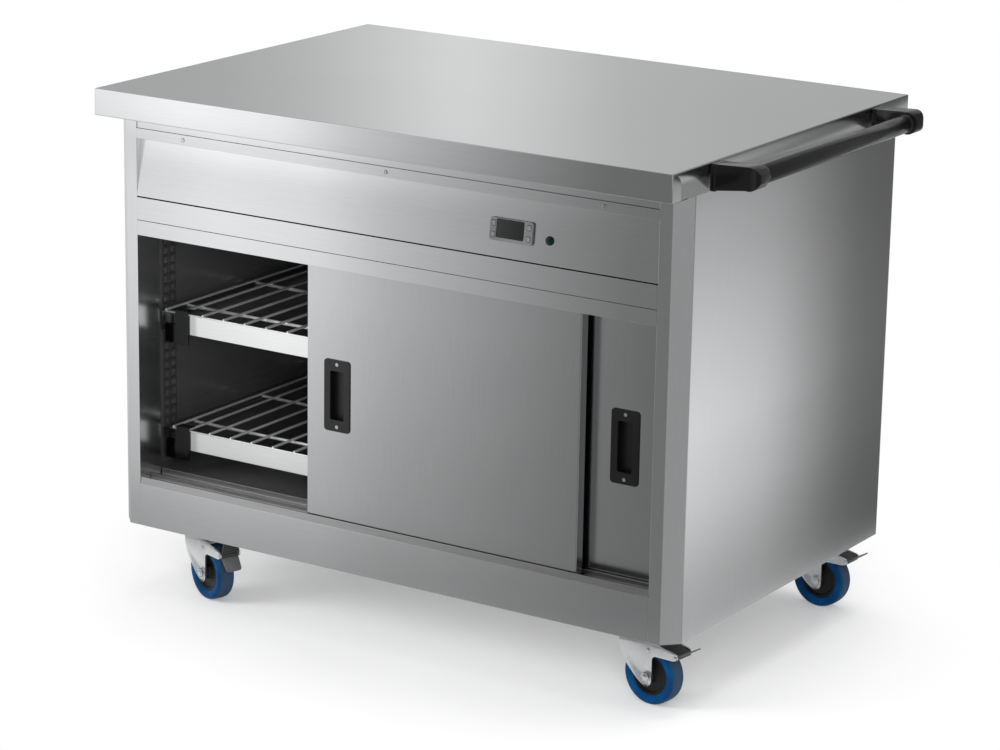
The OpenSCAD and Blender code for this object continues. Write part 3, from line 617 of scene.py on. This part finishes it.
def controls():
    """Thermostat controller with a raised bezel, its window and keys, the lamp and the screws."""
    spot = on_fascia(239.5, 758)
    proud, window = 5, (-2, 1.8)
    keys = {"up": (33, 9), "down": (33, -9), "set": (-33, 9), "power": (-33, -9)}
    openings = [rounded_rect(51.6, 29.6, 2, *window)]
    openings += [rounded_rect(7.8, 8.8, 1.6, *place) for place in keys.values()]
    bezel = stamped("bezel", [rounded_rect(80, 37, 4.5)] + openings, -proud, 0.2, 1.1)
    backing = block("case", (-35.5, -1.2, -14.5), (35.5, 55, 14.5), 1)
    case = move(joined("controller_bezel", [bezel, backing]), spot)
    dress(applied(case), bezel_grey, "controller_grey", "controller_case")
    glass = stamped("controller_display", [rounded_rect(51, 29, 1.8, *window)], 1.2 - proud, -1.4, 0.5)
    dress(move(glass, spot), display, "display_black", "controller_window")
    for name, place in keys.items():
        body = name + "_button"
        key = stamped(body + "_key", [rounded_rect(7, 8, 1.4, *place)], -proud - 0.7, -2.7, 0.7)
        dress(move(key, spot), key_grey, "button_grey", "button_" + name, body=body)
    profile = [(0, -5), (2.4, -4.8), (4.2, -4.1), (5.2, -3), (5.5, -1.9), (6.1, -1.7), (6.6, -2.2),
               (7.2, -1.9), (7.5, -1.2), (7.5, 0), (5.8, 0), (5.8, 26), (0, 26)]
    lamp = move(revolved("indicator_lamp_lens", profile, 48), on_fascia(309.5, 752))
    dress(smoothed(lamp, 50), lamp_green, "lamp_green", "indicator_lamp")
    apart = 410
    screws = move(cross_screw("fascia_pan_screws", 4, 2), at(-apart, FRONT, (FLANGE + HEADER) / 2))
    repeated(screws, zinc, (3, (apart, 0, 0)))
    dress(smoothed(screws, 30), zinc, "zinc", "fascia_screws")


def cross_screw(name, radius, height):
    """A pan-head screw with a cross recess in its domed head, which points towards -Y."""
    flat, a, b = 0.64 * radius, 0.5 * radius, 0.14 * radius
    cross = [(a, b), (b, b), (b, a), (-b, a), (-b, b), (-a, b), (-a, -b), (-b, -b), (-b, -a), (b, -a),
             (b, -b), (a, -b)]
    rim = arc(flat, full(28))
    crown = stamped("crown", [rim, cross], -height, -0.1, 0.1)
    dome = [(flat - 0.2, 0), (flat - 0.2, -height), (0.8 * radius, -0.9 * height),
            (0.93 * radius, -0.65 * height), (radius, -0.25 * height), (radius, 0)]
    skirt = revolved("skirt", dome, 32, close=True)
    return joined(name, [crown, skirt, stamped("seat", [rim], -height * 0.45, 0.1, 0.05)])


controls()


# ---- cavity and shelves

UPPER, LOWER = 495, 287  # the shelves' heights


def racks():
    """Perforated uprights with two columns of square holes, and a folded ledge under each shelf."""
    wall, thick, width, foot = 529.7, 2, 38, 238
    cell, pitch, hole, rows = 17.5, 17, 12, 25
    parts = []
    for x in (thick - wall, wall):
        for y in (FRONT + JAMB_DEPTH + 34, 200):
            ring = stamped("cell", [rect(cell, pitch), rect(hole, hole)], 0, thick, 0.25)
            move(ring, at(x, y + (width - cell) / 2, foot, 90))
            parts.append(repeated(ring, steel_along, (rows, (0, 0, pitch)), (2, (0, cell, 0))))
    near, far = -256, 238
    for top in (UPPER - 5.9, LOWER - 5.9):
        for side in SIDES:
            outer, inner = side * (wall - 30), side * (wall - thick)
            fold = [(outer, top - 9), (outer, top), (inner, top), (inner, top - 16)]
            faces = [[(xa, near, za), (xa, far, za), (xb, far, zb), (xb, near, zb)][::side]
                     for (xa, za), (xb, zb) in zip(fold, fold[1:])]
            parts.append(sheet_from("ledge", faces, 1.2, thickness=1.5))
    dress(joined("perforated_shelf_racks", parts), steel_dark, "stainless", "shelf_racks")


def rod(name, length, radius, sides):
    """A wire along +Y from the origin, its nose and tail rounded; sizes in millimetres."""
    nose = arc(radius, range(-90, 1, 30), 0, radius)
    return revolved(name, nose + [(r, length - y) for r, y in nose[::-1]], sides)


def shelf(body, z, aside):
    """A shelf: bright band with turned edges, welded wires and two enamelled clips."""
    half, depth, y, pitch, wire, cross = 509, 522, -268, 45, 2.5, 3
    profile = [(9, z - 35), (0, z - 35), (0, z - 0.1), (6, z - 0.1)]
    band = sheet_from(body + "_band_folded", run(profile, aside - 515, aside + 515, y), 1.3)
    dress(band, steel_bright, "stainless", body + "_band", body=body)
    parts = []
    for count, step in ((22, pitch), (2, 2 * (half - wire))):
        row = repeated(rod("wire", depth, wire, 14), chrome, (count, (step, 0, 0)))
        parts.append(move(row, at(aside - step * (count - 1) / 2, y, z + wire)))
    for share in (0.12, 0.5, 0.94):
        rail = rod("cross_wire", 2 * half, cross, 16)
        parts.append(move(rail, at(aside - half, y + depth * share, z + 0.4 - cross, -90)))
    parts.append(move(rod("rim_wire", 2 * half, 1.6, 12), at(aside - half, y + 0.6, z + 0.9, -90)))
    wires = joined(body + "_welded_wires", parts)
    dress(smoothed(wires, 60), chrome, "chrome_wire", body + "_wires", body=body)
    dress(softened(body + "_clips", 0.9, 3), clip_gloss, "black_plastic", body + "_clips", body=body)


racks()
shelf("upper_shelf", UPPER, -6.5)
shelf("lower_shelf", LOWER, 7.5)
for name in ("liner_sides", "liner_back", "liner_floor", "liner_ceiling", "air_baffle"):
    width = 0.35 if name == "air_baffle" else 0.4
    dress(softened(name, width), liner_dull, "liner_steel", name)
dress(softened("fan_motor", 1.2), enamel, "motor_metal", "fan_motor")
dress(softened("fan_impeller", 0.25), aluminium, "fan_alu", "fan_impeller", body="fan")
dress(softened("heating_element", 0.2), element, "element_steel", "heating_element")


def gland():
    """Cable gland in the back: ribbed dome nut, hexagon and locknut round an open bore."""
    bore = 5
    dome = [(bore, 22), (6.2, 22.4), (7.6, 21.6), (9.2, 18.5), (10, 14), (10, 7), (bore, 7)]
    barrel = [(bore, 7), (8, 7), (8, -16), (bore, -16)]
    parts = [revolved("turned", profile, 48, close=True) for profile in (dome, barrel)]
    for low, high, radius in ((0.2, 7.2, 13), (-10, -1.4, 12)):
        outlines = [arc(radius, full(6, 30)), arc(7.9, full(32))]
        parts.append(stamped("hexagon", outlines, low, high, 0.8))
    rib = block("rib", (9.4, 8, -0.7), (10.7, 16, 0.7), 0.4)
    parts.append(grown(rib, RING, count=18, material=black_abs))
    piece = move(joined("cable_gland_turned", parts), at(-320, BACK, 175))
    dress(smoothed(piece, 35), black_abs, "black_plastic", "cable_gland")


gland()


# ---- handle

def handle():
    """Two moulded brackets with stepped feet and collars, and the grip between them."""
    reach, half_len, thick, centre_y, tube_z, step = 66, 287, 33, 4, TOP - 19, 0.6
    low, high = EDGE + 0.2, TOP - 2.2
    collar = [(15.1, 0), (17.6, 0), (18.8, 1.2), (18.95, 3.2), (18.4, 4.8), (15.1, 5.2)]
    parts = [softened("handle_brackets", 2.2, 4)]
    for side in SIDES:
        near, far = sorted(centre_y + side * y for y in (half_len + step, half_len - thick - step))
        foot = block("foot", (HALF_W + 0.4, near, low), (HALF_W + 10, far, high), 2, 3)
        parts.append(move(foot, at(0, 0, 0)))
        ring = revolved("collar", [(r, -side * (y - 2.5)) for r, y in collar], 72, close=True)
        parts.append(move(ring, at(HALF_W + reach, centre_y + side * (half_len - thick), tube_z)))
    brackets = smoothed(joined("handle_brackets_moulded", parts), 40)
    dress(brackets, handle_nylon, "handle_black", "handle_brackets")
    grip, end = 15, half_len - thick + 17
    groove = 30 - end
    half = [(0, -end), (grip - 1, -end), (grip, 1 - end), (grip, groove - 1.5), (grip - 0.5, groove - 0.7),
            (grip - 0.5, groove + 0.7), (grip, groove + 1.5)]
    tube = move(revolved("handle_grip", mirrored(half)), at(HALF_W + reach, centre_y, tube_z))
    dress(smoothed(tube, 40), handle_nylon, "handle_black", "handle_tube")


handle()


# ---- doors

def door(name, x, y, pull_x):
    """A folded door tray, its recessed pull with two screws, and its nylon glides."""
    width, height, thick, flange, foot_z, pull_z = 528, 443.5, 20, 15, 211.5, 430.75
    middle = (x + width / 2, foot_z + height / 2)
    back = y + thick
    outside = rect(width, height, *middle)
    loops = ((rect(30.5, 87.5, pull_x, pull_z), y), (outside, y), (outside, back),
             (rect(width - 2 * flange, height - 2 * flange, *middle), back))
    loops = [[(u, depth, v) for u, v in outline] for outline, depth in loops]
    faces = [[b[k], b[n], a[n], a[k]] for a, b in zip(loops, loops[1:]) for k, n in RING_OF_FOUR]
    dress(sheet_from(name + "_tray", faces, 1.7, segments=4), steel_door, "stainless", name, body=name)
    mouth, well = rounded_rect(27, 84, 3), rounded_rect(29.4, 86.4, 4)
    plate = stamped("plate", [rounded_rect(52, 123, 6), mouth], -1.9, -0.1, 0.75)
    walls = stamped("walls", [well, mouth], -0.2, 12.4, 0.3)
    floor = stamped("floor", [well], 11.8, 13, 0.3)
    pull = move(joined(name + "_pull_moulded", [plate, walls, floor]), at(pull_x, y, pull_z))
    dress(applied(pull), black_abs, "black_plastic", name + "_pull", body=name)
    apart = 107
    screws = move(cross_screw(name + "_pull_screws", 3, 0.8), at(pull_x, y - 1.8, pull_z - apart / 2))
    repeated(screws, zinc, (2, (0, 0, apart)))
    dress(smoothed(screws, 30), zinc, "zinc", body=name)
    dress(softened(name + "_glides", 0.6), nylon, "glide_nylon", name + "_glides", body=name)


door("front_door", -157, -342, -96.5)
door("rear_door", -29.5, -312, 438)


# ---- castors

AXLE = (40, 50)  # trail and height of the axle
PIVOT = (95, 93.5)  # the pedal's pin
LEG_IN, LEG_T = 17.5, 3  # from the middle to a fork leg, and its thickness
# Each castor's place, swivel angle, and how far its brake pedal is pressed, in degrees.
SPOTS = {"front_left": (-441, -268, -21, 83), "front_right": (441, -268, -7, 0),
         "rear_left": (-441, 308, 12, 0), "rear_right": (441, 308, -3, 0)}


def upright(profile, segments=64, close=False):
    """A turned part about +Z; profile is (radius, z) in millimetres."""
    return move(revolved("turned", profile, segments, close), rotation(90, "X"))


def across(profile, u=0, z=0, segments=48, close=False):
    """A turned part about the axle's direction, at a place (u, z) beside the fork."""
    return move(revolved("turned", profile, segments, close), shift(u, 0, z))


def castor_tops():
    """Top plates with rounded corners, their upper races, kingpins and hexagon bolts."""
    bolt_x, bolt_y = 40, 31
    slots = [arc(5.4, full(20), x, y, 4.6 / 5.4) for x in (-bolt_x, bolt_x) for y in (-bolt_y, bolt_y)]
    plate = stamped("plate", [rounded_rect(102, 84, 9)] + slots, -129.9, -126.9, 0.6)
    move(plate, rotation(-90, "X"))
    race = [(6, 126.9), (29, 126.9), (28.6, 124.5), (27, 122), (27.4, 119.5), (26.4, 118), (6, 117.9)]
    pin = [(0, 118), (6, 118), (6, 104.6), (9, 104.6), (9, 102.6), (7.6, 101.6), (0, 101.4)]
    hexagon = [arc(6.5, full(6))]
    ends = [stamped("bolt", hexagon, *span, 0.6) for span in ((-126.9, -121.9), (-135.6, -131.6))]
    bolt = move(joined("bolt", ends), rotation(-90, "X"))
    shank = upright([(0, 134), (4, 134), (4, 127), (0, 127)], 20)
    bolts = move(joined("bolt", [bolt, shank]), shift(-bolt_x, -bolt_y, 0))
    repeated(bolts, zinc, (2, (2 * bolt_x, 0, 0)), (2, (0, 2 * bolt_y, 0)))
    one = joined("castor_top", [plate, upright(race, close=True), upright(pin, 32), bolts])
    parts = []
    for x, y, _, _ in SPOTS.values():
        copy = bpy.data.objects.new("castor_top", one.data.copy())
        parts.append(move(copy, at(x, y, 0)))
    bpy.data.objects.remove(one)
    dress(smoothed(joined("castor_top_plates", parts), 35), zinc, "zinc", "castor_plates")


def fork_shape():
    """Pressed fork: a U-folded sheet whose legs narrow to the axle and reach out to the pedal's pin,
    with its swivel head, axle bolt and rivets."""
    top, half, notch = 108, LEG_IN + LEG_T, 8
    shank = filleted([(-17, top), (-17, 92), (-5, 66), (24, 38), (34, 33), (43, 33), (49, 39), (49.5, 52),
                      (49.5, 79)], [0, 6, 12, 14, 4, 4, 5, 8, 0])
    hollow = arc(notch, range(180, 89, -15), 49.5 + notch, 79)
    arm = filleted([hollow[-1], (93, 87.6), (100.6, 91), (98.5, 99.4), (57, top)], [0, 5, 5, 4, 0])
    crest = (44, top)
    flat = [shank + [crest]] + [[a, b, crest] for a, b in zip(hollow, hollow[1:])] + [arm + [crest]]
    faces = [[(u, side * half, z) for u, z in face[::-side]] for side in SIDES for face in flat]
    edge = [-17, 44, 57]
    faces.append([(u, -half, top) for u in edge] + [(u, half, top) for u in edge[::-1]])
    legs = sheet_from("legs", faces, 4.5, thickness=LEG_T, segments=4, rim=0.5, middle=0)
    head = [(6.1, 107.6), (27.5, 107.6), (29.6, 108.6), (30, 110.4), (29.2, 111.2), (28.8, 111.8),
            (29.2, 112.4), (30, 113.2), (29.4, 115.4), (27, 116.9), (6.1, 117.2)]
    parts = [legs, upright(head, 72, close=True)]
    for side in SIDES:
        bolt, washer, rivet = ([(r, side * (half + v)) for r, v in profile] for profile in (
            [(0, 7.6), (4.2, 7.6), (5, 6.8), (5, 0), (0, 0)],
            [(5, 1.3), (9, 1.3), (9.4, 0.9), (9.4, 0), (5, 0)],
            [(0, 1.9), (2.2, 1.7), (3.3, 0.9), (3.5, 0), (0, 0)]))
        parts += [across(bolt, *AXLE), across(washer, *AXLE, close=True)]
        low, high = sorted((side * (half + 1.2), side * (half + 5.8)))
        parts.append(move(stamped("nut", [arc(8, full(6))], low, high, 0.8), shift(AXLE[0], 0, AXLE[1])))
        parts.append(across(rivet, 41, 95, 24))
    parts.append(across(mirrored([(0, -half), (5, -half)]), *AXLE, 32))
    return joined("fork", parts)


def hub_shape():
    """Moulded wheel centre: a raised boss in a dished web, with a stepped rim under the tyre."""
    half = [(5.05, 16.4), (9.6, 16.4), (10.8, 15.6), (11.2, 12.8), (13.4, 9.8), (22, 8.8), (27.6, 9.8),
            (29, 12), (30, 12.9), (32.4, 13.3), (33.5, 12.6)]
    return across(mirrored(half), *AXLE, 96, close=True)


def tyre_shape():
    """Solid tyre with a crowned tread, two fine grooves and bulged side walls."""
    half = [(33.6, 12.7), (34.6, 14), (37, 14.9), (42, 15.6), (45.5, 15.5), (47.8, 14.4), (49.1, 12.4),
            (49.6, 10.2), (49.2, 9.6), (49.7, 9), (49.95, 5), (50, 0)]
    wall_r, fade = 48.6, 0.9  # the dust starts at this radius and is full this much further out
    ring = across(mirrored(half), *AXLE, 120, close=True)
    worn = ring.data.attributes.new("worn", "FLOAT", "POINT")
    for vertex, value in zip(ring.data.vertices, worn.data):
        radius = hypot(vertex.co.x / MM - AXLE[0], vertex.co.z / MM - AXLE[1])
        value.value = min(1, max(0, (radius - wall_r) / fade))
    return ring


def pedal_shape(press):
    """Rocker pedal, in three parts: a ribbed release pad with its barrel, the plain brake plate on
    the other side, and the pin."""
    half, end = LEG_IN - 0.6, LEG_IN + LEG_T + 1.2
    pad = block("pad", (-31, -half, 1.4), (1, half, 4.2), 0.9, 3)
    rib = block("rib", (-30, -half + 1.5, 3.6), (-27.8, half - 1.5, 5.4), 0.7)
    ribs = repeated(rib, pedal_black, (6, (5, 0, 0)))
    barrel = across(mirrored([(0, -half), (4.4, -half), (5, 0.6 - half)]))
    pin = across(mirrored([(0, -end), (2.2, -end), (3.4, 0.8 - end), (3, 1.2 - end)]))
    outline = filleted([(2, -half), (31, -half + 2), (31, half - 2), (2, half)], [0, 6, 6, 0])
    plate = move(stamped("plate", [outline], -1, 1, 0.6), rotation(-50, "Y") @ rotation(-90, "X"))
    place = shift(PIVOT[0], 0, PIVOT[1]) @ rotation(21 + press, "Y")
    return [move(part, place) for part in (joined("pad", [pad, ribs, barrel]), plate, pin)]


def castors():
    """Each castor from the same parts, turned to its own swivel angle."""
    kinds = (("fork_", zinc, "zinc", "swivel_", "fork_"),
             ("hub_", hub_nylon, "black_plastic", "wheel_", "hub_"),
             ("tyre_", tyre_rubber, "tyre_blue", "wheel_", "tyre_"),
             ("pad_", pedal_black, "pedal_dark", "brake_", "pedal_"),
             ("brake_plate_", pedal_grey, "pedal_dark", "brake_", None),
             ("pedal_pin_", zinc, "zinc", "brake_", None))
    for where, (x, y, swivel, press) in SPOTS.items():
        shapes = [fork_shape(), hub_shape(), tyre_shape(), *pedal_shape(press)]
        for piece, (name, material, slot, body, node) in zip(shapes, kinds):
            piece.name = piece.data.name = "castor_" + name + where
            stands_for = [node + where] if node else []
            smoothed(move(piece, at(x, y, 0, swivel)), 35)
            dress(piece, material, slot, *stands_for, body=body + where)


castor_tops()
castors()


# ---- stage, lights, camera

@surface
def paper(tree, place):
    """Matt studio paper. The camera, gloss and glass see it white away from the trolley, and with the
    trolley's shadow near it."""
    cloud = add(tree, NOISE, {"Vector": place, "Scale": 1 / 0.4, "Detail": 2})
    colour = add(tree, RAMP, {"Fac": cloud}, stops=[(0.3, "#f0f0f0"), (0.7, "#f5f5f5")])
    matt = add(tree, PRINCIPLED, {"Base Color": colour, "Roughness": 0.8, "Specular IOR Level": 0})
    ray = add(tree, "ShaderNodeLightPath").outputs
    seen = ray["Is Camera Ray"]
    for kind in ("Is Glossy Ray", "Is Transmission Ray"):
        seen = add(tree, MATH, {0: seen, 1: ray[kind]}, operation="MAXIMUM")
    away = add(tree, "ShaderNodeVectorMath", {0: place, 1: (0.8, 1, 1)}, operation="MULTIPLY")
    away = add(tree, "ShaderNodeVectorMath", {0: away}, operation="LENGTH").outputs["Value"]
    fade = add(tree, RANGE, {
        "Value": away, "From Min": 0.44, "From Max": 0.85, "To Min": 0.2, "To Max": 1})
    share = add(tree, MATH, {0: seen, 1: fade}, operation="MULTIPLY")
    white = add(tree, "ShaderNodeEmission", {"Color": linear(WHITE), "Strength": 1})
    return add(tree, "ShaderNodeMixShader", {0: share, 1: matt, 2: white})


@surface
def lit_card(tree, place):
    """A photographer's white card. The `glow` attribute of its mesh says how brightly it is lit."""
    glow = add(tree, "ShaderNodeAttribute", attribute_name="glow").outputs["Fac"]
    return add(tree, "ShaderNodeEmission", {"Color": linear(WHITE), "Strength": glow})


def stage():
    """A pale studio floor that sweeps up behind."""
    form = bmesh.new()
    radius, deep, wide, front, height = 2.5, 6, 16, -11, 9
    sweep = arc(radius, range(-84, 1, 6), deep, radius)
    path = [(front, 0), (deep, 0)] + sweep + [(deep + radius, height)]
    rows = [[form.verts.new((s * wide, y, z)) for s in SIDES] for y, z in path]
    for a, b in zip(rows, rows[1:]):
        form.faces.new((a[0], a[1], b[1], b[0]))
    floor = to_object("studio_floor", form)
    floor.data.materials.append(STUDIO_PAPER)
    smoothed(floor, 30)


def card(name, corner, along, stops, heights, low):
    """A tall card off camera that only gloss and metal see. stops give its brightness at distances
    along it, and heights say how much of what is above `low` is left at each height."""
    form = bmesh.new()
    glow = form.verts.layers.float.new("glow")
    corner, along = Vector(corner), Vector(along)
    rows = [[form.verts.new(corner + along * s + Vector((0, 0, z))) for s, _ in stops] for z, _ in heights]
    for row, (_, share) in zip(rows, heights):
        for vertex, (_, brightness) in zip(row, stops):
            vertex[glow] = low + (brightness - low) * share
    for a, b in zip(rows, rows[1:]):
        for k in range(len(stops) - 1):
            form.faces.new((a[k], a[k + 1], b[k + 1], b[k]))
    piece = to_object(name, form)
    piece.data.materials.append(CARD_WHITE)
    piece.visible_camera = piece.visible_diffuse = False
    piece.visible_shadow = piece.visible_transmission = False


def reflectors():
    """The cards: bright at the left front and beside the right end's front half, grey at the right
    front, at the slanted corner, behind and at the left, and dim in the cavity."""
    card("front_card", (0, -0.55, 0), (1, 0, 0),
         [(-2.5, 1), (-1.1, 1), (-0.74, 1.08), (-0.53, 1.28), (-0.33, 1.16), (-0.18, 0.8),
          (-0.07, 0.65), (0.16, 0.37), (0.3, 0.25), (0.45, 0.23), (0.85, 0.44), (3.2, 0.8)],
         [(0.01, 0.2), (0.1, 0.38), (0.17, 0.55), (0.36, 0.76), (0.53, 0.95), (0.68, 1), (0.77, 0.9),
          (0.83, 1.36), (1.4, 1.36)], 0.24)
    card("side_card", (0.66, 0, 0), (0, 1, 0),
         [(-0.36, 0.4), (-0.24, 0.6), (-0.19, 1.05), (-0.04, 1.05), (0.2, 0.85), (0.35, 0.52), (0.5, 0.25),
          (0.68, 0.16), (2.4, 0.3)],
         [(0.01, 0.45), (0.11, 0.53), (0.25, 0.85), (0.39, 1), (0.52, 0.85), (0.67, 0.6), (0.76, 0.5),
          (0.79, 0.42), (0.83, 0.3), (1.3, 0.3)], 0.1)
    card("corner_card", (0.55, -0.42, 0), (1, 0, 0), [(0, 0.42), (0.25, 0.42)],
         [(0, 1), (0.9, 1)], 0)
    low_heights = [(0.01, 0.4), (0.3, 0.8), (0.85, 1)]
    card("rear_card", (0, 0.62, 0), (1, 0, 0), [(-1, 0.8), (-0.3, 0.5), (0.3, 0.85), (0.6, 0.6)],
         low_heights, 0.2)
    card("left_card", (-0.75, 0, 0), (0, 1, 0), [(-0.4, 0.95), (0.1, 0.6), (0.8, 0.4)], low_heights, 0.2)
    card("cavity_card", (-0.03, -0.25, 0), (0, 1, 0), [(0, 0.14), (0.52, 0.1)],
         [(0.22, 1), (0.62, 1.4)], 0)
    card("back_card", (0, 2, 0), (1, 0, 0),
         [(-4.5, 0.5), (-2.2, 0.55), (-1.9, 0.67), (-1.45, 1), (-1.25, 0.87), (-1, 0.65), (-0.7, 0.6),
          (1, 0.45)], [(0.95, 1), (3, 1)], 0)


def area_light(name, location, target, size, power):
    """A soft square lamp aimed at a point."""
    data = bpy.data.lights.new(name, "AREA")
    data.shape, data.size, data.energy = "SQUARE", size, power
    lamp = linked(name, data)
    lamp.location = location
    lamp.rotation_euler = (Vector(target) - Vector(location)).to_track_quat("-Z", "Y").to_euler()
    lamp.visible_glossy = False


def studio():
    """An even white surround and three lamps: at the left front, above, and at the right front."""
    world = bpy.data.worlds.new("studio_world")
    scene.world = world
    world.use_nodes = True
    tree = world.node_tree
    tree.nodes.clear()
    surround = add(tree, "ShaderNodeBackground", {"Color": linear(WHITE), "Strength": 0.62})
    add(tree, "ShaderNodeOutputWorld", {"Surface": surround})
    area_light("key_left_front", (-2.9, -2.9, 2), (-0.5, -0.2, 0.4), 1.8, 100)
    area_light("overhead", (0.3, 0.5, 3.4), (0, 0, 0.6), 2.4, 75)
    area_light("right_fill", (2, -3, 1.5), (-0.3, 0, 0.4), 1.2, 55)


def camera():
    """The photograph's view: its lens, distance, turn, height and tilt."""
    azimuth, elevation, roll, distance = 32.574, 15.671, 1.013, 5.867
    focal, sensor, frame_width = 3418, 36, 1000  # pixels, millimetres, pixels
    target = Vector((CABINET_X * MM + 0.002285, 0, 0.405706))
    a, e, r = (radians(angle) for angle in (azimuth, elevation, roll))
    back = Vector((sin(a) * cos(e), -cos(a) * cos(e), sin(e)))
    right = Vector((cos(a), sin(a), 0))
    side = right * cos(r) + back.cross(right) * sin(r)
    turn = Matrix((side, back.cross(side), back)).transposed().to_4x4()
    data = bpy.data.cameras.new("camera")
    data.sensor_width = sensor
    data.lens = sensor * focal / frame_width
    data.clip_end = 60
    scene.camera = linked("camera", data)
    scene.camera.matrix_world = Matrix.Translation(target + back * distance) @ turn


CARD_WHITE = lit_card("reflector_card_lit")
STUDIO_PAPER = paper("studio_paper_white")
for material in (CARD_WHITE, STUDIO_PAPER):
    material.cycles.emission_sampling = "NONE"
stage()
reflectors()
studio()
camera()
scene.view_settings.view_transform = "Standard"
bpy.context.view_layer.update()
